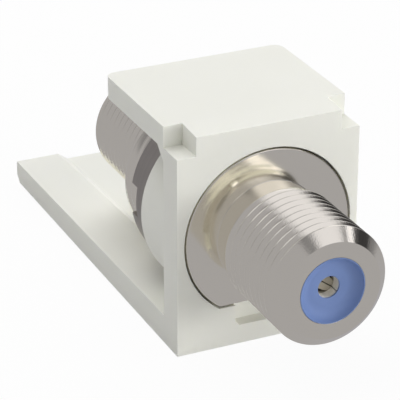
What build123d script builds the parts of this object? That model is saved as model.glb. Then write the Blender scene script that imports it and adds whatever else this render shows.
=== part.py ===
from build123d import *
import os

# An F coupler in a snap-in module, in millimetres. The barrel axis is Y, with the front at -Y,
# +Z is up, and the origin is on that axis in the plane of the front plate's face.

# Housing: front plate, as wide as the flange's seat and a wall each side of it
side_wall = 0.58
plate_thick = 2.45

# Housing: thick block along the top, with a notch in each front corner
block_thick = 1.78
block_length = 13.37
block_corner = 0.8
notch_width = 1.52
notch_depth = 1.68
strip_drop = 0.15
gusset = 1.06

# Housing: latch arm along the bottom
arm_end = 33.6
arm_thick_front = 2.35
arm_thick_rear = 1.81
arm_rise = 0.23
arm_end_chamfer = 0.6
channel_half_front = 2.85
channel_half_rear = 3.65
channel_depth = 0.61
channel_bevel = 0.86

# Housing: round boss behind the plate, bored for the coupler
boss_length = 4.27
boss_inset = 0.05

# Coupler shell, turned in one piece
flange_overhang = 0.5
flange_thick = 1.5
flange_edge = 0.06
flat_cut = 0.84
neck_radius = 4.2
neck_length = 1.9
neck_fillet = 0.25
thread_radius = 4.68
thread_lead = 0.4
ring_radius = 3.81
front_length = 10.26
body_radius = 6.22
body_length = 12.75
body_chamfer = 0.25
rear_length = 10.3
bore_radius = 2.6
web_radius = 2.1
web_front = 1.0
web_thick = 8.0

# Slotted ring nut
nut_wall = 0.7
nut_thick = 3.11
nut_edge = 0.12
slot_width = 2.5
slot_depth = 1.1

# Insulators, one pressed in at each end of the shell
dish_depth = 0.64
dish_floor_radius = 1.5
dish_rim = 0.06
hole_radius = 0.86
lip_length = 0.1

# Centre contact, a tube with two leaves folded in across each end to grip the plug's wire
contact_radius = 1.15
mouth_radius = 0.84
mouth_depth = 0.75
leaf_length = 4.1
leaf_half_long = 1.0
leaf_half_wide = 0.56
leaf_angle = -36
seam_width = 0.08

# Clearances
flange_gap = 0.15
flat_gap = 0.2
bore_gap = 0.08
nut_gap = 0.03
insulator_gap = 0.02
contact_gap = 0.03
contact_end_gap = 0.05
block_room = 0.24
channel_room = 0.19

# Pocket in the plate's face, below the flange's flat
pocket_half_width = 2.67
pocket_height = 1.74
pocket_depth = 1.06
pocket_corner = 0.33

# Places worked out from the sizes above
flange_radius = body_radius + flange_overhang
flat_drop = body_radius - flat_cut
nut_radius = body_radius + nut_gap + nut_wall
seat_radius = flange_radius + flange_gap
seat_flat = flat_drop + flat_gap
half = seat_radius + side_wall
block_under = nut_radius + block_room
block_top = block_under + block_thick
boss_end = plate_thick + boss_length
boss_radius = half - boss_inset
arm_top_front = channel_depth - nut_radius - channel_room
plate_bottom = arm_top_front - arm_thick_front
arm_bottom_rear = plate_bottom + arm_rise
arm_top_rear = arm_bottom_rear + arm_thick_rear
end_chamfer = thread_radius - ring_radius
rear_end = body_length + rear_length
cavity_radius = contact_radius + contact_gap
contact_front = -front_length + dish_depth + lip_length + contact_end_gap
contact_rear = rear_end - dish_depth - lip_length - contact_end_gap
spring_depth = mouth_depth + leaf_length


def across(y):
    """The plane square to the barrel axis at y, seen from the front."""
    return Plane.XZ.offset(-y)


def flatted_circle(radius, flat):
    """A circle on the barrel axis whose bottom is cut off level, this far below the axis."""
    Circle(radius)
    with Locations((0, -flat)):
        Rectangle(2 * radius, radius, align=(Align.CENTER, Align.MAX), mode=Mode.SUBTRACT)


def arm_top(y):
    """Height of the latch arm's upper face at y."""
    share = (y - plate_thick) / (arm_end - plate_thick)
    return arm_top_front + share * (arm_top_rear - arm_top_front)


def channel_section(y, half_width):
    """The latch arm's channel at y, carried on above the arm along its bevels."""
    top = arm_top(y)
    slope = channel_bevel / channel_depth
    floor = (half_width - channel_bevel, top - channel_depth)
    lip = (half_width + slope * arm_thick_rear, top + arm_thick_rear)
    Polygon((-floor[0], floor[1]), floor, lip, (-lip[0], lip[1]), align=None)


# Housing, moulded in one piece
with BuildPart() as housing:
    # Side outline of the block, the plate and the arm
    with BuildSketch(Plane.YZ):
        with BuildLine():
            Polyline(
                (0, plate_bottom),
                (0, block_top - strip_drop),
                (plate_thick, block_top),
                (block_length, block_top),
                (block_length, block_under),
                (plate_thick + gusset, block_under),
                (plate_thick, block_under - gusset),
                (plate_thick, arm_top_front),
                (arm_end, arm_top_rear),
                (arm_end, arm_bottom_rear + arm_end_chamfer),
                (arm_end - arm_end_chamfer, arm_bottom_rear),
                close=True,
            )
        make_face()
    extrude(amount=half, both=True)
    block_rear_edges = housing.edges().filter_by(Axis.Z).filter_by_position(
        Axis.Y, block_length - boss_inset, block_length + boss_inset
    )
    fillet(block_rear_edges, block_corner)
    # Notches in the block's front corners
    with BuildSketch(across(0)):
        with Locations((-half, block_top), (half, block_top)):
            Rectangle(2 * notch_width, 2 * notch_depth)
    extrude(amount=-plate_thick, mode=Mode.SUBTRACT)
    # Boss behind the plate
    with BuildSketch(across(plate_thick)):
        Circle(boss_radius)
    extrude(amount=-boss_length)
    # Channel along the arm, from the boss to the free end
    channel_end = arm_end + arm_end_chamfer
    with BuildSketch(across(boss_end)):
        channel_section(boss_end, channel_half_front)
    with BuildSketch(across(channel_end)):
        channel_section(channel_end, channel_half_rear)
    loft(ruled=True, mode=Mode.SUBTRACT)
    # Seat for the flange, and the bore behind it
    with BuildSketch(across(0)):
        flatted_circle(seat_radius, seat_flat)
    extrude(amount=-flange_thick, mode=Mode.SUBTRACT)
    with BuildSketch(across(flange_thick)):
        flatted_circle(body_radius + bore_gap, flat_drop + bore_gap)
    extrude(amount=flange_thick - boss_end, mode=Mode.SUBTRACT)
    # Pocket below the flat
    with BuildSketch(across(0)):
        with Locations((0, -seat_flat)):
            pocket = Rectangle(2 * pocket_half_width, pocket_height, align=(Align.CENTER, Align.MAX))
        chamfer(pocket.vertices().group_by(Axis.Y)[0], pocket_corner)
    extrude(amount=-pocket_depth, mode=Mode.SUBTRACT)

# Coupler shell: front barrel, neck, flange, thick body and rear barrel
with BuildPart() as coupler_shell:
    with BuildSketch():
        with BuildLine():
            Polyline(
                (bore_radius, -front_length),
                (ring_radius, -front_length),
                (thread_radius, -front_length + end_chamfer),
                (thread_radius, -neck_length - thread_lead),
                (neck_radius, -neck_length),
                (neck_radius, 0),
                (flange_radius, 0),
                (flange_radius, flange_thick),
                (body_radius, flange_thick),
                (body_radius, body_length - body_chamfer),
                (body_radius - body_chamfer, body_length),
                (neck_radius, body_length),
                (neck_radius, body_length + neck_length),
                (thread_radius, body_length + neck_length + thread_lead),
                (thread_radius, rear_end - end_chamfer),
                (ring_radius, rear_end),
                (bore_radius, rear_end),
                (bore_radius, web_front + web_thick),
                (web_radius, web_front + web_thick),
                (web_radius, web_front),
                (bore_radius, web_front),
                close=True,
            )
        make_face()
    revolve(axis=Axis.Y)
    neck_root = coupler_shell.edges().filter_by(GeomType.CIRCLE).filter_by_position(
        Axis.Y, -nut_gap, nut_gap
    ).sort_by(SortBy.RADIUS)[0]
    fillet(neck_root, neck_fillet)
    # One flat along the underside of the flange and the thick body
    with BuildSketch(across(0)):
        with Locations((0, -flat_drop)):
            Rectangle(2 * flange_radius, flange_radius, align=(Align.CENTER, Align.MAX))
    extrude(amount=-body_length, mode=Mode.SUBTRACT)
    flange_front = coupler_shell.faces().filter_by(Axis.Y).filter_by_position(
        Axis.Y, -nut_gap, nut_gap
    ).sort_by(SortBy.AREA)[-1]
    chamfer(flange_front.outer_wire().edges(), flange_edge)

# Slotted ring nut on the thick body, against the boss
with BuildPart() as ring_nut:
    with BuildSketch(across(boss_end)):
        Circle(nut_radius)
        Circle(body_radius + nut_gap, mode=Mode.SUBTRACT)
    extrude(amount=-nut_thick)
    chamfer(ring_nut.edges().group_by(Axis.Y)[-1].sort_by(SortBy.RADIUS)[-1], nut_edge)
    with BuildSketch(across(boss_end + nut_thick)):
        Rectangle(2 * nut_radius, slot_width)
    extrude(amount=slot_depth, mode=Mode.SUBTRACT)


def insulator(outer_end, inner_end):
    """A turned insulator whose dished face is at outer_end, hollow for the contact behind its lip."""
    side = 1 if inner_end > outer_end else -1
    outer_radius = bore_radius - insulator_gap
    dish_floor = outer_end + side * dish_depth
    lip_end = dish_floor + side * lip_length
    with BuildPart() as made:
        with BuildSketch():
            with BuildLine():
                Polyline(
                    (dish_floor_radius, dish_floor),
                    (hole_radius, dish_floor),
                    (hole_radius, lip_end),
                    (cavity_radius, lip_end),
                    (cavity_radius, inner_end),
                    (outer_radius, inner_end),
                    (outer_radius, outer_end),
                    (outer_radius - dish_rim, outer_end),
                )
                TangentArc(
                    (dish_floor_radius, dish_floor),
                    (outer_radius - dish_rim, outer_end),
                    tangent=(1, 0),
                )
            make_face()
        revolve(axis=Axis.Y)
    return made


front_insulator = insulator(-front_length, web_front)
rear_insulator = insulator(rear_end, web_front + web_thick)


# Centre contact, running the length of the coupler
with BuildPart() as centre_contact:
    with BuildSketch(across(contact_front)):
        Circle(contact_radius)
    extrude(amount=contact_front - contact_rear)
    # At each end the open mouth, the crescents beside the leaves, and the seam between them
    for end, inward in ((contact_front, 1), (contact_rear, -1)):
        with BuildSketch(across(end)):
            Circle(mouth_radius)
        extrude(amount=-inward * mouth_depth, mode=Mode.SUBTRACT)
        with BuildSketch(across(end)):
            Circle(mouth_radius)
            Ellipse(leaf_half_long, leaf_half_wide, rotation=leaf_angle, mode=Mode.SUBTRACT)
        extrude(amount=-inward * spring_depth, mode=Mode.SUBTRACT)
        with BuildSketch(across(end)):
            with PolarLocations(-mouth_radius, 1, start_angle=leaf_angle):
                Rectangle(2 * contact_radius, seam_width, align=(Align.MIN, Align.CENTER))
        extrude(amount=-inward * spring_depth, mode=Mode.SUBTRACT)

os.makedirs("parts", exist_ok=True)

housing.part.label = "housing"
export_step(housing.part, "parts/housing.step")

coupler_shell.part.label = "coupler_shell"
export_step(coupler_shell.part, "parts/coupler_shell.step")

ring_nut.part.label = "ring_nut"
export_step(ring_nut.part, "parts/ring_nut.step")

front_insulator.part.label = "front_insulator"
export_step(front_insulator.part, "parts/front_insulator.step")

rear_insulator.part.label = "rear_insulator"
export_step(rear_insulator.part, "parts/rear_insulator.step")

centre_contact.part.label = "centre_contact"
export_step(centre_contact.part, "parts/centre_contact.step")
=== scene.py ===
# %% [markdown]
# # A coaxial coupler in a snap-in module
#
# The real object is a small fitting for a wall plate. A nickel-plated coupler has a threaded barrel at
# each end for a coaxial plug. A dark ring nut clamps it in a white moulded module, whose notched block
# hooks into the wall plate and whose long arm latches below.
#
# This lesson builds the pieces one at a time, as a maker would: the moulding first, then the turned
# shell with its screw threads, the ring nut, the blue insulators and the sprung contact. The packed
# CAD model is loaded first. It is the fixed frame, and every piece here goes exactly where it says.

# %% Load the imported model
import math

import bmesh
import bpy
import numpy as np
from mathutils import Matrix, Vector


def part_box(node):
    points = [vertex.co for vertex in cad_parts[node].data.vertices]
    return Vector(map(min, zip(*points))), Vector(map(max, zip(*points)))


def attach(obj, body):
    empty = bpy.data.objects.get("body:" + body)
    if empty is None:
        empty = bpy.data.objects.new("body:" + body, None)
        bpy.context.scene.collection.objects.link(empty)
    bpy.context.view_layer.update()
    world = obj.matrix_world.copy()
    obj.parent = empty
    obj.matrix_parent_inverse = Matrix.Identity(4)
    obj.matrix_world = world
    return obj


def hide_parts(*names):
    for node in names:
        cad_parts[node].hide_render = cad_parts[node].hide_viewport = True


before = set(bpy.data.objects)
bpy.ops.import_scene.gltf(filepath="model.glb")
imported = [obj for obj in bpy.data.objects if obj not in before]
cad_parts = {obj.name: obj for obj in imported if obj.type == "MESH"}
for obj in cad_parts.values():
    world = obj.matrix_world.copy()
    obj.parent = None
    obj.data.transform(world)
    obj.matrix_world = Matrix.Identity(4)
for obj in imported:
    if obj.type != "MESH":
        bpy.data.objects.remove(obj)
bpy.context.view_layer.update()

print("CAD nodes:", sorted(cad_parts))
floor_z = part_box("housing")[0].z

# %% [markdown]
# ## The camera
#
# The photograph was taken with a long lens, from the left of the barrel and from above. Its angle,
# distance and lens were solved from the corners of the moulding and the circles of the barrel. A camera
# could be turned by hand until the picture looks right, but then it would carry that error into everything
# after it. So the camera is placed by numbers, from three directions: right, up and back along the view.

# %% Camera
MM = 0.001
camera_turn = math.radians(-24.94)
camera_rise = math.radians(25.70)
camera_roll = math.radians(0.13)
camera_aim = Vector((-5.617, 0, 3.786)) * MM
camera_distance = 167.04 * MM

back = Vector((
    math.sin(camera_turn) * math.cos(camera_rise),
    -math.cos(camera_turn) * math.cos(camera_rise),
    math.sin(camera_rise),
))
level = Vector((math.cos(camera_turn), math.sin(camera_turn), 0))
upright = back.cross(level)
right = math.cos(camera_roll) * level + math.sin(camera_roll) * upright
up = math.cos(camera_roll) * upright - math.sin(camera_roll) * level

camera = bpy.data.objects.new("Camera", bpy.data.cameras.new("Camera"))
bpy.context.scene.collection.objects.link(camera)
camera.data.sensor_width = 36
camera.data.lens = 206.8
camera.data.clip_start = 10 * MM
camera.matrix_world = Matrix.Translation(camera_aim + camera_distance * back) @ Matrix(
    (right, up, back)
).transposed().to_4x4()
bpy.context.scene.camera = camera
print("The camera looks from", camera.matrix_world.translation)

# %% [markdown]
# ## Arithmetic with nodes
#
# A finish is a small calculation: a noise is scaled, added to a number and sent to the shader. Clicking
# such nodes together is slow to read afterwards. The class below wraps one output of a node, and gives
# it plus, minus, times and power, so that a calculation reads like ordinary Python and adds its Math
# nodes by itself. Its method maths adds any other Math node, and node adds a node of any kind.

# %% A class for shader arithmetic
class Flow:
    """What flows out of one socket of a node tree. Arithmetic on it adds Math nodes."""

    def __init__(self, tree, socket=None):
        self.tree = tree
        self.socket = socket

    def node(self, kind, settings=None, sockets=None, out=0):
        """Adds a node of this kind: its settings first, then its sockets from values or flows."""
        made = self.tree.nodes.new(kind)
        for name, value in (settings or {}).items():
            setattr(made, name, value)
        for name, value in (sockets or {}).items():
            if isinstance(value, Flow):
                self.tree.links.new(value.socket, made.inputs[name])
            else:
                made.inputs[name].default_value = value
        return Flow(self.tree, made.outputs[out] if made.outputs else None)

    def maths(self, operation, first, second):
        return self.node("ShaderNodeMath", {"operation": operation}, {0: first, 1: second})

    def __add__(self, other):
        return self.maths("ADD", self, other)

    def __radd__(self, other):
        return self.maths("ADD", other, self)

    def __sub__(self, other):
        return self.maths("SUBTRACT", self, other)

    def __rsub__(self, other):
        return self.maths("SUBTRACT", other, self)

    def __mul__(self, other):
        return self.maths("MULTIPLY", self, other)

    def __rmul__(self, other):
        return self.maths("MULTIPLY", other, self)

    def __pow__(self, other):
        return self.maths("POWER", self, other)


print("Shader arithmetic is ready")

# %% [markdown]
# ## Floor and surroundings
#
# The picture is a product shot on pure white. More light on the object would bleach its pale plastic,
# so the white comes from the surroundings instead: what is seen directly is white, and what lights the
# object is a plain, weaker light. The floor works the same way, and still keeps a part of its own
# shading, so that the shadow under the module stays. What the metal mirrors gets a step of its own.

# %% What the camera and the reflections see
def seen_directly(start):
    """1 for rays from the camera or off a polished or clear surface, and 0 for the rest."""
    camera_ray = start.node("ShaderNodeLightPath", out="Is Camera Ray")
    glossy_ray = start.node("ShaderNodeLightPath", out="Is Glossy Ray")
    clear_ray = start.node("ShaderNodeLightPath", out="Is Transmission Ray")
    return start.maths("MINIMUM", camera_ray + glossy_ray + clear_ray, 1)


room_light = 0.08
world = bpy.data.worlds.new("white_room")
world.use_nodes = True
world.node_tree.nodes.clear()
bpy.context.scene.world = world
start = Flow(world.node_tree)
strength = room_light + (1 - room_light) * seen_directly(start)
room = start.node("ShaderNodeBackground", None, {"Color": (1, 1, 1, 1), "Strength": strength})
start.node("ShaderNodeOutputWorld", None, {"Surface": room})
print("The room gives", room_light, "of plain light")

# %% Floor
floor_half = 1.5
floor_albedo = 0.80
floor_white = 0.95

bm = bmesh.new()
bmesh.ops.create_grid(bm, x_segments=1, y_segments=1, size=floor_half)
bmesh.ops.translate(bm, verts=bm.verts, vec=(0, 0, floor_z))
floor_mesh = bpy.data.meshes.new("floor")
bm.to_mesh(floor_mesh)
bm.free()
floor = bpy.data.objects.new("floor", floor_mesh)
bpy.context.scene.collection.objects.link(floor)

paper = bpy.data.materials.new("white_paper")
paper.use_nodes = True
paper.node_tree.nodes.clear()
start = Flow(paper.node_tree)
shaded = start.node("ShaderNodeBsdfDiffuse", None, {"Color": (floor_albedo,) * 3 + (1,)})
plain_white = start.node("ShaderNodeEmission", None, {"Color": (1, 1, 1, 1), "Strength": 1.0})
mixed = start.node(
    "ShaderNodeMixShader", None, {0: seen_directly(start) * floor_white, 1: shaded, 2: plain_white}
)
start.node("ShaderNodeOutputMaterial", None, {"Surface": mixed})
floor_mesh.materials.append(paper)
print("The floor is at", floor_z, "m")

# %% [markdown]
# ## Studio light
#
# The photograph tells where its light came from, and it tells it twice. The matt moulding shows the
# lamps by its shading. The front plate is darkest at the left of the barrel, so the main lamp stood low
# at the front right, and a wider and weaker one in front fills its shadows. The bright top and arm need
# two more, high up behind.
#
# Each lamp is placed by two angles: its turn round the object, where 0 is the right and -90 the front,
# and its rise above the floor. A stronger lamp further round to the right would copy the front plate a
# little better, but it would bleach the side that faces it. None of the lamps shows in the metal, which
# gets its own surroundings next.

# %% Lamps
def direction(turn, rise):
    """A direction from the object, from its turn and its rise in degrees."""
    turn, rise = math.radians(turn), math.radians(rise)
    return Vector((math.cos(turn) * math.cos(rise), math.sin(turn) * math.cos(rise), math.sin(rise)))


lamp_distance = 0.5


def softbox(name, turn, rise, spread, brightness):
    """A square lamp that spans this angle and isn't mirrored. A brightness of 1 is that of white paper."""
    toward = direction(turn, rise)
    light = bpy.data.lights.new(name, "AREA")
    light.shape = "SQUARE"
    light.size = 2 * lamp_distance * math.tan(math.radians(spread / 2))
    light.energy = brightness * math.pi * light.size ** 2
    lamp = bpy.data.objects.new(name, light)
    facing = toward.to_track_quat("Z", "Y").to_matrix().to_4x4()
    lamp.matrix_world = Matrix.Translation(lamp_distance * toward) @ facing
    lamp.visible_glossy = False
    bpy.context.scene.collection.objects.link(lamp)
    print(name, "is", round(light.size, 3), "m wide")


softbox("main_lamp", turn=-30, rise=0, spread=35, brightness=7.4)
softbox("front_lamp", turn=-75, rise=20, spread=50, brightness=1.6)
softbox("rear_right_lamp", turn=70, rise=45, spread=50, brightness=2.5)
softbox("rear_left_lamp", turn=160, rise=60, spread=50, brightness=1.7)

# %% [markdown]
# The barrel is a mirror, so it shows the studio itself. Nearly everywhere that is an even grey, because
# a studio is dim around its lamps. The bright places are a soft lamp in front, which lights the upper
# side of the thread, and one behind at each side, which draws light lines along the crests. Dark cards
# at the right give the thread its dark band, and the wall and the ceiling are a little dimmer at the left.
#
# Real cards could stand there, but each would shade the moulding as well. So all of this is painted on
# one tent round the object, which only reflections see. A patch is a direction, how far it spreads in
# degrees and how much brighter or darker it is, and it fades out softly from its middle. The tent is a
# little blue and the metal a little yellow. Seen once, that makes a neutral grey, and seen twice, as
# where the flange mirrors the barrel, it makes the photograph's cream.

# %% A soft patch, light or dark
def patch(start, toward, turn, rise, spread, change):
    """A change of the tent's brightness in one direction, which fades out at this angle from it."""
    centre = direction(turn, rise)
    nearness = start.node(
        "ShaderNodeVectorMath", {"operation": "DOT_PRODUCT"}, {0: toward, 1: centre}, out="Value"
    )
    outer, inner = math.cos(math.radians(spread)), math.cos(math.radians(spread / 2))
    return start.node(
        "ShaderNodeMapRange", {"interpolation_type": "SMOOTHSTEP"},
        {"Value": nearness, "From Min": outer, "From Max": inner, "To Min": 0.0, "To Max": change},
    )


print("Patches are ready")

# %% Tent that only the reflections see
tent_radius = 0.6
bm = bmesh.new()
bmesh.ops.create_uvsphere(bm, u_segments=48, v_segments=24, radius=tent_radius)
tent_floor = floor_z + 0.1 * MM
bmesh.ops.bisect_plane(
    bm, geom=bm.verts[:] + bm.edges[:] + bm.faces[:], dist=0.001 * MM,
    plane_co=(0, 0, tent_floor), plane_no=(0, 0, -1), clear_outer=True,
)
floor_rim = [e for e in bm.edges if all(abs(v.co.z - tent_floor) < 0.01 * MM for v in e.verts)]
bmesh.ops.contextual_create(bm, geom=floor_rim)
tent_mesh = bpy.data.meshes.new("grey_tent")
bm.to_mesh(tent_mesh)
bm.free()
tent = bpy.data.objects.new("grey_tent", tent_mesh)
bpy.context.scene.collection.objects.link(tent)
tent.visible_camera = tent.visible_diffuse = tent.visible_shadow = tent.visible_transmission = False
print("The tent has", len(tent_mesh.polygons), "faces")

# %% The studio, painted on the tent
tent_grey, tent_darkest = 0.395, 0.04
tent_tint = (1.0, 0.98, 1.04)
studio = {
    "soft lamp": {"turn": -60, "rise": 42, "spread": 30, "change": 0.42},
    "foot of the soft lamp": {"turn": -60, "rise": 20, "spread": 14, "change": 0.15},
    "small lamp": {"turn": -19, "rise": 33, "spread": 7, "change": 1.00},
    "smaller lamp beside it": {"turn": -41, "rise": 20, "spread": 6, "change": 0.40},
    "rear right lamp": {"turn": 38, "rise": 36, "spread": 26, "change": 0.95},
    "rear left lamp": {"turn": 152, "rise": 58, "spread": 22, "change": 1.20},
    "upper dark card": {"turn": -9, "rise": 28, "spread": 26, "change": -0.32},
    "lower dark card": {"turn": -25, "rise": 2, "spread": 24, "change": -0.28},
    "rear dark card": {"turn": 4, "rise": 12, "spread": 20, "change": -0.20},
    "dim ceiling": {"turn": -108, "rise": 58, "spread": 14, "change": -0.18},
    "dim wall": {"turn": 184, "rise": 36, "spread": 30, "change": -0.16},
}
tent_paint = bpy.data.materials.new("tent_grey")
tent_paint.use_nodes = True
tent_paint.node_tree.nodes.clear()
start = Flow(tent_paint.node_tree)
place = start.node("ShaderNodeTexCoord", out="Object")
toward = start.node("ShaderNodeVectorMath", {"operation": "NORMALIZE"}, {0: place})
brightness = tent_grey
for spot in studio.values():
    brightness = brightness + patch(start, toward, **spot)
brightness = start.maths("MAXIMUM", brightness, tent_darkest)
tinted = start.node("ShaderNodeVectorMath", {"operation": "SCALE"}, {0: tent_tint, "Scale": brightness})
glow = start.node("ShaderNodeEmission", None, {"Color": tinted, "Strength": 1.0})
start.node("ShaderNodeOutputMaterial", None, {"Surface": glow})
tent_mesh.materials.append(tent_paint)
print("Painted on the tent:", ", ".join(studio))

# %% [markdown]
# ## From a drawing to a piece
#
# All the drawings are in millimetres, measured from the middle of the barrel, with the front of the
# plate at y = 0. Blender works in metres, so a finished mesh is scaled once, at the very end. The
# helper below does that, closes seams, turns the faces outwards, shades the smooth parts smooth, and
# ties the piece to the frame. A last helper rounds the edges of a piece with a Bevel modifier.

# %% Helpers that finish a piece
same_point = 0.0005     # points this near each other, in millimetres, are one
same_plane = 0.0001     # a point this near a plane lies in it
crisp_angle = 30        # an edge that turns by more than this many degrees is crisp


def as_object(bm, name):
    """The mesh as an object at the origin, still in millimetres."""
    mesh = bpy.data.meshes.new(name)
    bm.to_mesh(mesh)
    bm.free()
    made = bpy.data.objects.new(name, mesh)
    bpy.context.scene.collection.objects.link(made)
    return made


def finished(made, node, crease=35):
    """Scales a piece to metres, shades it, and lets it stand for its CAD node."""
    bm = bmesh.new()
    bm.from_mesh(made.data)
    bmesh.ops.remove_doubles(bm, verts=bm.verts, dist=same_point)
    bmesh.ops.recalc_face_normals(bm, faces=bm.faces)
    bmesh.ops.scale(bm, verts=bm.verts, vec=(MM, MM, MM))
    open_edges = sum(not edge.is_manifold for edge in bm.edges)
    bm.to_mesh(made.data)
    bm.free()
    made.data.shade_smooth()
    made.data.set_sharp_from_angle(angle=math.radians(crease))
    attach(made, "root")
    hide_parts(node)
    print(made.name, "has", len(made.data.polygons), "faces and", open_edges, "open edges")
    return made


def round_edges(piece, width):
    """A bevel of this width, in millimetres, along every crisp edge of a finished piece."""
    edge_round = piece.modifiers.new("edge_round", "BEVEL")
    edge_round.width = width * MM
    edge_round.segments = 2
    edge_round.limit_method = "ANGLE"
    edge_round.angle_limit = math.radians(crisp_angle)
    edge_round.harden_normals = True
    print("Edges of", piece.name, "rounded by", width, "mm")


print("Finishing helpers are ready")

# %% [markdown]
# ## The moulded module
#
# The white module is one injection moulding: a front plate, a thick notched block along its top, a
# round boss behind it, and a latch arm with a channel along it. It could be pushed and pulled out of
# one cube, but a mould maker thinks in blocks and cutters, and so does this step. The side outline is
# drawn once and extruded across the width. Then the boss is added, and the notches, the channel, the
# flange's seat, the bore and the pocket are cut out.

# %% Sizes of the module
half_width = 7.45
plate_thick, plate_bottom = 2.45, -8.88
block_under, block_top, block_length, block_corner = 7.19, 8.97, 13.37, 0.8
gusset = 1.06
strip_drop = 0.15
notch_width, notch_depth = 1.52, 1.68
boss_radius, boss_end = 7.40, 6.72
arm_end, arm_end_chamfer = 33.6, 0.6
arm_top_front, arm_top_rear, arm_bottom_rear = -6.53, -6.84, -8.65
channel_depth, channel_bevel = 0.61, 0.86
channel_half_front, channel_half_rear = 2.85, 3.65
seat_radius, seat_flat, seat_depth = 6.87, -5.58, 1.5
bore_radius, bore_flat = 6.30, -5.46
pocket_half, pocket_bottom, pocket_depth, pocket_corner = 2.67, -7.32, 1.06, 0.33

around = 144            # steps in a full turn
beyond = 1              # how far a cutter reaches past what it cuts
print("The module is", 2 * half_width, "mm wide and", arm_end, "mm long")

# %% Side outline, extruded across the width
module_outline = (
    (0, plate_bottom),
    (0, block_top - strip_drop),
    (plate_thick, block_top),
    (block_length, block_top),
    (block_length, block_under),
    (plate_thick + gusset, block_under),
    (plate_thick, block_under - gusset),
    (plate_thick, arm_top_front),
    (arm_end, arm_top_rear),
    (arm_end, arm_bottom_rear + arm_end_chamfer),
    (arm_end - arm_end_chamfer, arm_bottom_rear),
)
bm = bmesh.new()
side = bm.faces.new([bm.verts.new((-half_width, y, z)) for y, z in module_outline])
swept = bmesh.ops.extrude_face_region(bm, geom=[side])["geom"]
bmesh.ops.translate(
    bm, verts=[v for v in swept if isinstance(v, bmesh.types.BMVert)], vec=(2 * half_width, 0, 0)
)
bmesh.ops.recalc_face_normals(bm, faces=bm.faces)
rear_corners = [
    edge for edge in bm.edges
    if all(v.co.y > block_length - same_point and v.co.z > 0 for v in edge.verts)
    and abs(edge.verts[0].co.x - edge.verts[1].co.x) < same_point
]
bmesh.ops.bevel(
    bm, geom=rear_corners, offset=block_corner, offset_type="OFFSET", affect="EDGES",
    segments=8, profile=0.5, material=-1,
)
module = as_object(bm, "snap_in_module")
print("Rounded", len(rear_corners), "corners of the block")

# %% Blocks and cutters
def box(low, high):
    """A rectangular block between two corners."""
    bm = bmesh.new()
    size = Vector(high) - Vector(low)
    bmesh.ops.create_cube(bm, size=1)
    bmesh.ops.scale(bm, verts=bm.verts, vec=size)
    bmesh.ops.translate(bm, verts=bm.verts, vec=Vector(low) + size / 2)
    return as_object(bm, "box")


def round_bar(radius, front, rear, flat=None):
    """A round bar along the barrel's axis, with its underside cut level at this height."""
    bm = bmesh.new()
    bmesh.ops.create_cone(
        bm, cap_ends=True, segments=around, radius1=radius, radius2=radius, depth=rear - front
    )
    bmesh.ops.rotate(bm, verts=bm.verts, matrix=Matrix.Rotation(-math.pi / 2, 3, "X"))
    bmesh.ops.translate(bm, verts=bm.verts, vec=(0, (front + rear) / 2, 0))
    if flat is not None:
        cut = bmesh.ops.bisect_plane(
            bm, geom=bm.verts[:] + bm.edges[:] + bm.faces[:], dist=same_plane,
            plane_co=(0, 0, flat), plane_no=(0, 0, -1), clear_outer=True,
        )
        rim = [edge for edge in cut["geom_cut"] if isinstance(edge, bmesh.types.BMEdge)]
        bmesh.ops.edgeloop_fill(bm, edges=rim)
        bmesh.ops.recalc_face_normals(bm, faces=bm.faces)
    return as_object(bm, "round_bar")


def prism(front_section, front, rear_section, rear):
    """A bar between two flat sections, given as points (x, z), at two places along y."""
    bm = bmesh.new()
    loops = []
    for section, y in ((front_section, front), (rear_section, rear)):
        corners = [bm.verts.new((x, y, z)) for x, z in section]
        face = bm.faces.new(corners)
        loops += face.edges[:]
    bmesh.ops.bridge_loops(bm, edges=loops)
    bmesh.ops.recalc_face_normals(bm, faces=bm.faces)
    return as_object(bm, "prism")


def combine(target, tool, operation):
    """Joins the tool to the target, or cuts it out, and throws the tool away."""
    step = target.modifiers.new("combine", "BOOLEAN")
    step.object, step.operation, step.solver = tool, operation, "EXACT"
    shaped = bpy.data.meshes.new_from_object(target.evaluated_get(bpy.context.evaluated_depsgraph_get()))
    target.modifiers.clear()
    target.data = shaped
    bpy.data.objects.remove(tool)


print("Cutters are ready")

# %% Channel along the arm
channel_over = 1.81     # how far the trough is carried on above the arm


def arm_top(y):
    """Height of the arm's upper face at y."""
    share = (y - plate_thick) / (arm_end - plate_thick)
    return arm_top_front + share * (arm_top_rear - arm_top_front)


def channel_section(y, half):
    """The channel's section at y, carried on above the arm along its bevels."""
    bed = arm_top(y) - channel_depth
    lip = half + channel_over * channel_bevel / channel_depth
    return (
        (-half + channel_bevel, bed), (half - channel_bevel, bed),
        (lip, arm_top(y) + channel_over), (-lip, arm_top(y) + channel_over),
    )


channel_end = arm_end + arm_end_chamfer
trough = prism(
    channel_section(boss_end, channel_half_front), boss_end,
    channel_section(channel_end, channel_half_rear), channel_end,
)
print("The channel runs from", boss_end, "to", channel_end, "mm")

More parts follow.
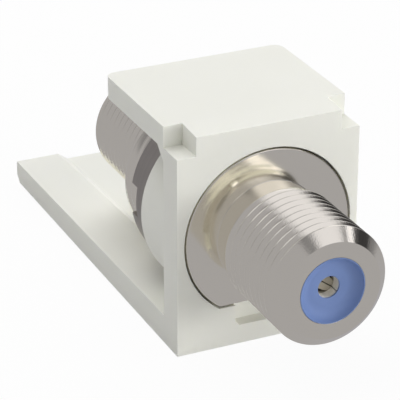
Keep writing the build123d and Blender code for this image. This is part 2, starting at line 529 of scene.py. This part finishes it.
# %% Cut the module to shape
combine(module, round_bar(boss_radius, plate_thick - beyond, boss_end), "UNION")
for x in (-half_width, half_width):
    notch = box(
        (x - notch_width, -beyond, block_top - notch_depth),
        (x + notch_width, plate_thick, block_top + beyond),
    )
    combine(module, notch, "DIFFERENCE")
combine(module, trough, "DIFFERENCE")
combine(module, round_bar(seat_radius, -beyond, seat_depth, seat_flat), "DIFFERENCE")
bore_front, bore_rear = seat_depth - beyond / 2, boss_end + beyond / 2
combine(module, round_bar(bore_radius, bore_front, bore_rear, bore_flat), "DIFFERENCE")
pocket_top = seat_flat + beyond / 2
pocket_section = (
    (-pocket_half, pocket_top), (-pocket_half, pocket_bottom + pocket_corner),
    (-pocket_half + pocket_corner, pocket_bottom), (pocket_half - pocket_corner, pocket_bottom),
    (pocket_half, pocket_bottom + pocket_corner), (pocket_half, pocket_top),
)
combine(module, prism(pocket_section, -beyond, pocket_section, pocket_depth), "DIFFERENCE")
print("The module has", len(module.data.polygons), "faces")

# %% [markdown]
# A mould is cut with small tools, so no edge of the real plastic is knife sharp. A Bevel modifier gives
# every crisp edge a radius of less than a tenth of a millimetre. It is almost too small to see, but it
# catches the light along the plate as the real edges do.

# %% Round the module's edges a little
finished(module, "housing", crease=crisp_angle)
round_edges(module, 0.07)

# %% [markdown]
# ## The turned shell and its threads
#
# The shell is turned from one brass bar and nickel plated: front barrel, neck, flange, thick body and
# rear barrel. Its threads are what makes it a coupler, so they are real helical geometry and not a
# bump. A screw could be made with a Screw modifier, but its ends are hard to run out cleanly. Here a
# row of points, one for each corner of each tooth, is spun round the axis while it moves along by one
# pitch. That gives a sleeve whose edges follow the helix exactly. The sleeve is then cut square at both
# ends, and every point is drawn in to the depth that its place in the tooth asks for.

# %% Tooth of a sixty-degree thread
inch = 25.4
barrel_pitch, barrel_depth = inch / 32, 0.49
body_pitch, body_depth = inch / 28, 0.40
crest_round = 0.07
flank_foot, foot_depth, root_edge = 0.397, 0.97, 0.43

# from the middle of a rounded crest, down one flank to the root, as shares of the pitch and the depth
crest_arc = [math.radians(angle) for angle in (0, 15, 30, 45, 60)]
half_places = [round(crest_round * math.sin(a) / barrel_pitch, 3) for a in crest_arc]
half_depths = [round(crest_round * (1 - math.cos(a)) / barrel_depth, 3) for a in crest_arc]
half_places += [flank_foot, root_edge]
half_depths += [foot_depth, 1]
tooth_places = half_places + [1 - place for place in reversed(half_places)]
tooth_depths = half_depths + half_depths[::-1]
print("A tooth has", len(tooth_places) - 1, "corners")

# %% Square ends for a helical sleeve
column_slack = 0.01     # in steps of the full turn


def square_rim(bm, y):
    """Merges the extra points, between the columns, that a square cut leaves on a helical sleeve."""
    spread = 2 * math.pi / around
    rim = [v for v in bm.verts if abs(v.co.y - y) < same_plane]
    columns, extra = {}, []
    for v in rim:
        step = math.atan2(-v.co.z, v.co.x) / spread
        if abs(step - round(step)) < column_slack:
            columns[round(step) % around] = v
        else:
            extra.append((v, round(step) % around))
    bmesh.ops.weld_verts(bm, targetmap={v: columns[column] for v, column in extra})


print("Rims have", around, "points")

# %% A screwed sleeve
def threaded_sleeve(outline, threaded, fade, pitch, depth, crest_at):
    """A screwed sleeve. Its outline is the points (y, radius) over the crests, from front to rear.
    The thread lies between the two places in threaded, and runs out over the lengths in fade."""
    front, rear = outline[0][0], outline[-1][0]
    first_turn = math.floor((front - crest_at) / pitch) - 2
    last_turn = math.ceil((rear - crest_at) / pitch) + 1
    rows = [
        crest_at + (turn + place) * pitch
        for turn in range(first_turn, last_turn) for place in tooth_places[:-1]
    ]
    bm = bmesh.new()
    chain = [bm.verts.new((outline[0][1], y, 0)) for y in rows]
    links = [bm.edges.new(pair) for pair in zip(chain, chain[1:])]
    bmesh.ops.spin(
        bm, geom=chain + links, cent=(0, 0, 0), axis=(0, 1, 0), dvec=(0, pitch / around, 0),
        angle=2 * math.pi, steps=around, use_merge=False,
    )
    bmesh.ops.remove_doubles(bm, verts=bm.verts, dist=same_point)
    for y, _ in outline:
        bmesh.ops.bisect_plane(
            bm, geom=bm.verts[:] + bm.edges[:] + bm.faces[:], dist=2 * same_plane,
            plane_co=(0, y, 0), plane_no=(0, 1, 0), clear_inner=y == front, clear_outer=y == rear,
        )
    square_rim(bm, front)
    square_rim(bm, rear)
    places, radii = zip(*outline)
    for v in bm.verts:
        turned = math.atan2(-v.co.z, v.co.x) / (2 * math.pi)
        in_tooth = ((v.co.y - crest_at) / pitch - turned) % 1
        run_in = min(max((v.co.y - threaded[0]) / fade[0], 0), 1)
        run_out = min(max((threaded[1] - v.co.y) / fade[1], 0), 1)
        groove = depth * run_in * run_out * np.interp(in_tooth, tooth_places, tooth_depths)
        radius = np.interp(v.co.y, places, radii) - groove
        across = Vector((v.co.x, v.co.z)).normalized() * radius
        v.co.x, v.co.z = across
    return bm


print("Sleeves can be cut")

# %% Turning, and joining what was turned
def turned(outline, closed=False):
    """A surface spun round the axis from its outline, given as points (radius, y)."""
    bm = bmesh.new()
    points = [bm.verts.new((radius, y, 0)) for radius, y in outline]
    following = points[1:] + points[:1] if closed else points[1:]
    edges = [bm.edges.new(pair) for pair in zip(points, following)]
    bmesh.ops.spin(
        bm, geom=points + edges, cent=(0, 0, 0), axis=(0, 1, 0), dvec=(0, 0, 0),
        angle=2 * math.pi, steps=around, use_merge=True,
    )
    return bm


def joined(parts):
    """Several meshes as one, with their common rims merged."""
    whole = bmesh.new()
    for part in parts:
        carrier = bpy.data.meshes.new("carrier")
        part.to_mesh(carrier)
        part.free()
        whole.from_mesh(carrier)
        bpy.data.meshes.remove(carrier)
    bmesh.ops.remove_doubles(whole, verts=whole.verts, dist=same_point)
    bmesh.ops.recalc_face_normals(whole, faces=whole.faces)
    return whole


print("Turning is ready")

# %% Sizes of the shell
front_end, rear_end = -10.26, 23.05
neck_radius, crest_radius, end_radius, end_chamfer = 4.20, 4.68, 3.81, 0.87
neck_length, thread_lead, thread_start = 1.9, 0.4, 0.3
body_crest, body_end, body_chamfer = 6.22, 12.75, 0.25
seam = 0.2              # from a thread's end to the rim where its sleeve meets the next strip
front_neck, rear_neck, body_front = -neck_length, body_end + neck_length, boss_end + seam
front_crest_at, rear_crest_at, body_crest_at = -5.134, 18.0, 10.0    # a crest here at the right side
print("The shell is", rear_end - front_end, "mm long")

# %% Threads of the two barrels and the thick body
front_sleeve = threaded_sleeve(
    outline=(
        (front_end, end_radius), (front_end + end_chamfer, crest_radius),
        (front_neck - thread_lead, crest_radius), (front_neck, neck_radius),
        (front_neck + seam, neck_radius),
    ),
    threaded=(front_end + end_chamfer, front_neck), fade=(thread_start, 0.50),
    pitch=barrel_pitch, depth=barrel_depth, crest_at=front_crest_at,
)
rear_sleeve = threaded_sleeve(
    outline=(
        (rear_neck - seam, neck_radius), (rear_neck, neck_radius),
        (rear_neck + thread_lead, crest_radius), (rear_end - end_chamfer, crest_radius),
        (rear_end, end_radius),
    ),
    threaded=(rear_neck, rear_end - end_chamfer), fade=(0.50, thread_start),
    pitch=barrel_pitch, depth=barrel_depth, crest_at=rear_crest_at,
)
body_sleeve = threaded_sleeve(
    outline=(
        (body_front, body_crest), (body_end - body_chamfer, body_crest),
        (body_end, body_crest - body_chamfer),
    ),
    threaded=(body_front, body_end - body_chamfer), fade=(0.60, thread_start),
    pitch=body_pitch, depth=body_depth, crest_at=body_crest_at,
)
print("Front sleeve:", len(front_sleeve.verts), "points; body sleeve:", len(body_sleeve.verts), "points")

# %% [markdown]
# The rest of the shell has no thread, so it is plain turning: an outline spun round the axis. Three
# outlines join the sleeves into one closed skin. The first is the neck with its fillet and the flange,
# the second is the step behind the thick body, and the third is the two end rings and the bore, with
# the web that holds the insulators apart.

# %% Flange, step and bore
flange_radius, flange_thick, flange_edge, neck_fillet = 6.72, 1.5, 0.10, 0.04
shell_bore, web_radius, web_front, web_rear = 2.60, 2.1, 1.0, 9.0
end_edge = 0.01


def fillet(centre_radius, centre_y, size, start, stop, steps=6):
    """Points (radius, y) along a small round, from one angle to the other, in degrees."""
    angles = [math.radians(start + (stop - start) * step / steps) for step in range(steps + 1)]
    return [(centre_radius + size * math.cos(a), centre_y + size * math.sin(a)) for a in angles]


flange_strip = turned(
    [(neck_radius, front_neck + seam)]
    + fillet(neck_radius + neck_fillet, -neck_fillet, neck_fillet, 180, 90)
    + fillet(flange_radius - flange_edge, flange_edge, flange_edge, -90, 0)
    + [(flange_radius, flange_thick), (body_crest, flange_thick), (body_crest, body_front)]
)
step_strip = turned(
    [(body_crest - body_chamfer, body_end), (neck_radius, body_end), (neck_radius, rear_neck - seam)]
)
bore_strip = turned(
    [
        (end_radius, rear_end), (shell_bore + end_edge, rear_end), (shell_bore, rear_end - end_edge),
        (shell_bore, web_rear), (web_radius, web_rear), (web_radius, web_front), (shell_bore, web_front),
        (shell_bore, front_end + end_edge), (shell_bore + end_edge, front_end), (end_radius, front_end),
    ]
)
shell_skin = joined([front_sleeve, flange_strip, body_sleeve, step_strip, rear_sleeve, bore_strip])
print("The shell's skin has", len(shell_skin.faces), "faces")

# %% The flat along the underside
flat_drop = -5.38
cut = bmesh.ops.bisect_plane(
    shell_skin, geom=shell_skin.verts[:] + shell_skin.edges[:] + shell_skin.faces[:], dist=same_plane,
    plane_co=(0, 0, flat_drop), plane_no=(0, 0, -1), clear_outer=True,
)
rim = [edge for edge in cut["geom_cut"] if isinstance(edge, bmesh.types.BMEdge)]
bmesh.ops.edgeloop_fill(shell_skin, edges=rim)
shell = finished(as_object(shell_skin, "nickel_shell"), "coupler_shell")

# %% [markdown]
# ## The slotted ring nut
#
# The ring nut screws on the thick body and clamps the module's boss against the flange. Two slots
# across its rear face take a pin spanner. Its ring is spun, the slots are cut with one long block, and
# a fine bevel breaks the edges.

# %% Ring nut
nut_radius, nut_bore, nut_thick, nut_edge = 6.95, 6.25, 3.11, 0.12
slot_width, slot_depth, slot_reach = 2.5, 1.1, 9
nut_end = boss_end + nut_thick

ring_nut = as_object(
    turned(
        [
            (nut_bore, boss_end), (nut_radius, boss_end), (nut_radius, nut_end - nut_edge),
            (nut_radius - nut_edge, nut_end), (nut_bore, nut_end),
        ],
        closed=True,
    ),
    "slotted_nut",
)
slot = box(
    (-slot_reach, nut_end - slot_depth, -slot_width / 2),
    (slot_reach, nut_end + beyond, slot_width / 2),
)
combine(ring_nut, slot, "DIFFERENCE")
finished(ring_nut, "ring_nut", crease=crisp_angle)
round_edges(ring_nut, 0.05)

# %% [markdown]
# ## The blue insulators
#
# A blue plastic bush is pressed into each end of the shell. Its face is a shallow dish with a flat
# floor, which guides the plug's wire into the hole. The dish is one arc that leaves the floor level and
# steepens towards the rim. Both bushes are turned to the same outline, so one function spins both, the
# rear one with its outline turned round.

# %% Insulators
insulator_radius, insulator_rim, dish_floor, dish_depth = 2.58, 2.52, 1.5, 0.64
hole_radius, hole_round, lip_length, cavity_radius = 0.86, 0.03, 0.1, 1.18
dish_round = ((insulator_rim - dish_floor) ** 2 + dish_depth ** 2) / (2 * dish_depth)
dish_swing = math.degrees(math.acos(1 - dish_depth / dish_round))


def insulator(name, node, outer_end, inner_end):
    """A bush with its dish at outer_end. Depths are measured inwards from there."""
    inward = 1 if inner_end > outer_end else -1
    length = abs(inner_end - outer_end)
    dish = fillet(dish_floor, dish_round - dish_depth, dish_round, -90, -90 + dish_swing, 16)
    outline = [(insulator_radius, length), (insulator_radius, 0)]
    outline += [(radius, -height) for radius, height in reversed(dish)]
    outline += fillet(hole_radius + hole_round, dish_depth + hole_round, hole_round, -90, -180, 4)
    outline += [
        (hole_radius, dish_depth + lip_length), (cavity_radius, dish_depth + lip_length),
        (cavity_radius, length),
    ]
    skin = turned([(radius, outer_end + inward * depth) for radius, depth in outline], closed=True)
    return finished(as_object(skin, name), node)


front_bush = insulator("blue_bush_front", "front_insulator", front_end, web_front)
rear_bush = insulator("blue_bush_rear", "rear_insulator", rear_end, web_rear)

# %% [markdown]
# ## The sprung contact
#
# Just behind the insulator's hole sits the end of a rolled metal tube. Two leaves are folded in across
# it and pinched together, and the plug's wire springs them apart. In the photograph they show as a brown
# oval with a dark crescent at each side of it, and the tube's seam runs on from the line between them.
# The tube is spun, and the crescents and the seam are cut out of its floor.

# %% Contact
contact_radius, mouth_radius, mouth_depth, leaf_length = 1.15, 0.84, 0.75, 4.1
contact_front, contact_rear = -9.47, 22.26
leaf_half_long, leaf_half_wide, leaf_turn, seam_width = 1.0, 0.56, math.radians(-36), 0.08
well_wall, past_skin = 0.01, 0.1
turn_leaves = Matrix.Rotation(-leaf_turn, 4, "Y")

contact = as_object(
    turned(
        [
            (0.0, contact_front + mouth_depth), (mouth_radius, contact_front + mouth_depth),
            (mouth_radius, contact_front), (contact_radius, contact_front), (contact_radius, contact_rear),
            (mouth_radius, contact_rear), (mouth_radius, contact_rear - mouth_depth),
            (0.0, contact_rear - mouth_depth),
        ]
    ),
    "sprung_contact",
)
for end, inward in ((contact_front, 1), (contact_rear, -1)):
    spring_end = end + inward * (mouth_depth + leaf_length)
    near, far = sorted((end + inward * (mouth_depth - past_skin), spring_end))
    wells = round_bar(mouth_radius - well_wall, near, far)
    leaves = round_bar(1, near - beyond, far + beyond)
    leaves.data.transform(turn_leaves @ Matrix.Diagonal((leaf_half_long, 1, leaf_half_wide, 1)))
    combine(wells, leaves, "DIFFERENCE")
    combine(contact, wells, "DIFFERENCE")
    near, far = sorted((end - inward * past_skin, spring_end))
    slit = box((-mouth_radius, near, -seam_width / 2), (contact_radius + past_skin, far, seam_width / 2))
    slit.data.transform(turn_leaves)
    combine(contact, slit, "DIFFERENCE")
finished(contact, "centre_contact", crease=crisp_angle)

# %% [markdown]
# ## Finishes
#
# Every material is procedural: its pattern comes from the place of a point on the object, so it stays
# put from any side and in any pose. The metal was turned on a lathe, so its marks run round the axis.
# They are a noise read from only two numbers, the distance from the axis and the place along it.

# %% A material and its shader
def finish(name, pieces):
    """A new material for these pieces, and the flow that its nodes start from."""
    material = bpy.data.materials.new(name)
    material.use_nodes = True
    material.node_tree.nodes.clear()
    for piece in pieces:
        piece.data.materials.clear()
        piece.data.materials.append(material)
    return Flow(material.node_tree)


def shade(start, fixed, changing):
    """The shader: numbers that are the same all over, and flows that change over the surface."""
    shader = start.node("ShaderNodeBsdfPrincipled", None, {**fixed, **changing})
    start.node("ShaderNodeOutputMaterial", None, {"Surface": shader})


def colour_between(start, amount, first, second):
    """A colour that goes from the first to the second as the amount goes from 0 to 1. Either may flow."""
    ends = [end if isinstance(end, Flow) else (*end, 1) for end in (first, second)]
    return start.node("ShaderNodeMix", {"data_type": "RGBA"}, {0: amount, 6: ends[0], 7: ends[1]}, out=2)


print("Material helpers are ready")

# %% [markdown]
# The module is white plastic with a trace of yellow. A moulding is never quite even: the colour varies
# by a percent or so, the mould's fine spark texture scatters the light, and its gloss changes slowly.
# White plastic isn't quite opaque either. A share of the light goes in and comes out up to half a
# millimetre away, which softens the shading along the edges.

# %% White moulded plastic
start = finish("white_plastic", [module])
place = start.node("ShaderNodeTexCoord", out="Object")
cloud = start.node("ShaderNodeTexNoise", None, {"Vector": place, "Scale": 160.0, "Detail": 3.0})
grain = start.node("ShaderNodeTexNoise", None, {"Vector": place, "Scale": 5200.0, "Detail": 2.0})
plastic_colour = colour_between(start, cloud, (0.86, 0.86, 0.795), (0.885, 0.885, 0.825))
plastic_bump = start.node(
    "ShaderNodeBump", None, {"Strength": 0.10, "Distance": 0.03 * MM, "Height": grain}
)
shade(
    start,
    {
        "IOR": 1.47, "Specular IOR Level": 0.4, "Subsurface Weight": 0.25, "Subsurface Radius": (1, 1, 0.9),
        "Subsurface Scale": 0.4 * MM,
    },
    {"Base Color": plastic_colour, "Roughness": 0.42 + 0.10 * cloud, "Normal": plastic_bump},
)
print("Painted", module.name)

# %% [markdown]
# Nickel is warmer than chrome: it reflects a little less blue. The plating is smooth, but the lathe's
# marks still show through as faint rings, and where fingers and tools have touched it the shine is a
# little duller. The die that cut the threads left a fine grain on them, so a lamp's edge breaks up into
# sparkles there. The ring nut has the same plating over a rougher surface. It looks darker, and its rings
# are coarse enough to be seen.

# %% Turned and plated metal
def turning_marks(start, fineness):
    """Fine rings round the axis, between 0 and 1, from the radius and the place along the axis."""
    place = start.node("ShaderNodeTexCoord", out="Object")
    x = start.node("ShaderNodeSeparateXYZ", None, {0: place}, out="X")
    y = start.node("ShaderNodeSeparateXYZ", None, {0: place}, out="Y")
    z = start.node("ShaderNodeSeparateXYZ", None, {0: place}, out="Z")
    radius = (x * x + z * z) ** 0.5
    ringed = start.node("ShaderNodeCombineXYZ", None, {0: radius, 1: y, 2: 0.0})
    return start.node("ShaderNodeTexNoise", None, {"Vector": ringed, "Scale": fineness, "Detail": 2.0})


def thread_grain(start, fineness):
    """A fine grain, 0 everywhere but on the two threads, where the die tore the metal a little."""
    place = start.node("ShaderNodeTexCoord", out="Object")
    along = start.node("ShaderNodeSeparateXYZ", None, {0: place}, out="Y")
    shell_middle = (front_end + rear_end) / 2
    from_middle = start.maths("ABSOLUTE", along - shell_middle * MM, 0)
    on_thread = start.maths("GREATER_THAN", from_middle, (shell_middle + neck_length) * MM)
    grain = start.node("ShaderNodeTexNoise", None, {"Vector": place, "Scale": fineness, "Detail": 1.0})
    return on_thread * grain


print("Lathe marks are ready")

# %% Plated metal
def plated(name, pieces, light, dark, gloss, spread, depth, fineness, grain=None):
    """Turned and plated metal between two colours, with this gloss and this spread of it. Its rings are
    this deep, in metres, and about this many to the metre. The grain is so many times as deep."""
    start = finish(name, pieces)
    rings = turning_marks(start, fineness)
    place = start.node("ShaderNodeTexCoord", out="Object")
    handling = start.node("ShaderNodeTexNoise", None, {"Vector": place, "Scale": 420.0, "Detail": 4.0})
    colour = colour_between(start, 0.4 * handling + 0.6 * rings, dark, light)
    marks = rings + grain * thread_grain(start, 8000.0) if grain else rings
    bump = start.node("ShaderNodeBump", None, {"Strength": 0.25, "Distance": depth, "Height": marks})
    shade(
        start, {"Metallic": 1.0},
        {"Base Color": colour, "Roughness": gloss + spread * handling + spread * rings, "Normal": bump},
    )


plated(
    "bright_nickel", [shell], light=(0.945, 0.911, 0.808), dark=(0.905, 0.872, 0.774),
    gloss=0.10, spread=0.03, depth=0.002 * MM, fineness=14000.0, grain=10.0,
)
plated(
    "dull_nickel", [ring_nut], light=(0.510, 0.479, 0.438), dark=(0.330, 0.310, 0.283),
    gloss=0.34, spread=0.08, depth=0.006 * MM, fineness=5500.0,
)
print("Plated", shell.name, ring_nut.name)

# %% [markdown]
# The contact is a spring, and its two leaves lie inside a dark tube. Hardly any light gets there, and a
# mirror finish would show nothing but black. In the photograph the mouth's wall is bright, the leaves
# are brown and the crescents beside them nearly black. So light and shade are painted into the colour by
# the depth in the tube: the mouth is painted lit, the leaves' ends are a brown in painted half shade, and
# everything behind them is painted black as shade.

# %% Spring metal, with light and shade painted by its depth
# Painted light and shade: lit and shaded copies of the spring metal, a lit mouth, brown leaves in half
# shade and black shade behind them.
lit_mouth_colour, brown_shaded_leaf_colour, deep_shade_colour = (0.95, 0.93, 0.88), (0.42, 0.38, 0.29), (0.02, 0.015, 0.02)
mouth_edge, leaf_edge = 0.02 * MM, 0.30 * MM

start = finish("spring_metal_painted_shade", [contact])
place = start.node("ShaderNodeTexCoord", out="Object")
along = start.node("ShaderNodeSeparateXYZ", None, {0: place}, out="Y")
contact_middle = (contact_front + contact_rear) / 2 * MM
from_middle = start.maths("ABSOLUTE", along - contact_middle, 0)
leaf_place = (contact_rear - contact_front) / 2 * MM - mouth_depth * MM
is_mouth = start.maths("GREATER_THAN", from_middle, leaf_place + mouth_edge)
is_leaf = start.maths("GREATER_THAN", from_middle, leaf_place - leaf_edge)
# The leaves' ends get the brown in painted half shade, everything deeper the painted black shade, and the
# mouth the painted lit colour.
leaf_and_deep_shade_colour = colour_between(start, is_leaf, deep_shade_colour, brown_shaded_leaf_colour)
spring_colour_with_painted_shade = colour_between(start, is_mouth, leaf_and_deep_shade_colour, lit_mouth_colour)
shade(start, {"Metallic": 0.2}, {"Base Color": spring_colour_with_painted_shade, "Roughness": 0.55 - 0.15 * is_mouth})
print("Painted", contact.name)

# %% [markdown]
# The bushes are a smooth, slightly waxy blue plastic. They were turned or moulded round their axis, so
# their faint marks are rings as well, and a soft cloud keeps the blue from looking like paint.

# %% Blue plastic
start = finish("blue_plastic", [front_bush, rear_bush])
place = start.node("ShaderNodeTexCoord", out="Object")
cloud = start.node("ShaderNodeTexNoise", None, {"Vector": place, "Scale": 500.0, "Detail": 3.0})
rings = turning_marks(start, 9000.0)
blue = colour_between(start, cloud, (0.165, 0.245, 0.485), (0.190, 0.272, 0.520))
blue_bump = start.node("ShaderNodeBump", None, {"Strength": 0.12, "Distance": 0.003 * MM, "Height": rings})
shade(
    start, {"IOR": 1.45, "Specular IOR Level": 0.4},
    {"Base Color": blue, "Roughness": 0.30 + 0.08 * rings, "Normal": blue_bump},
)
print("Painted", front_bush.name, rear_bush.name)

# %% [markdown]
# ## Colour and the last line
#
# The Standard view keeps a colour as it is written.

# %% View transform
bpy.context.scene.view_settings.view_transform = "Standard"
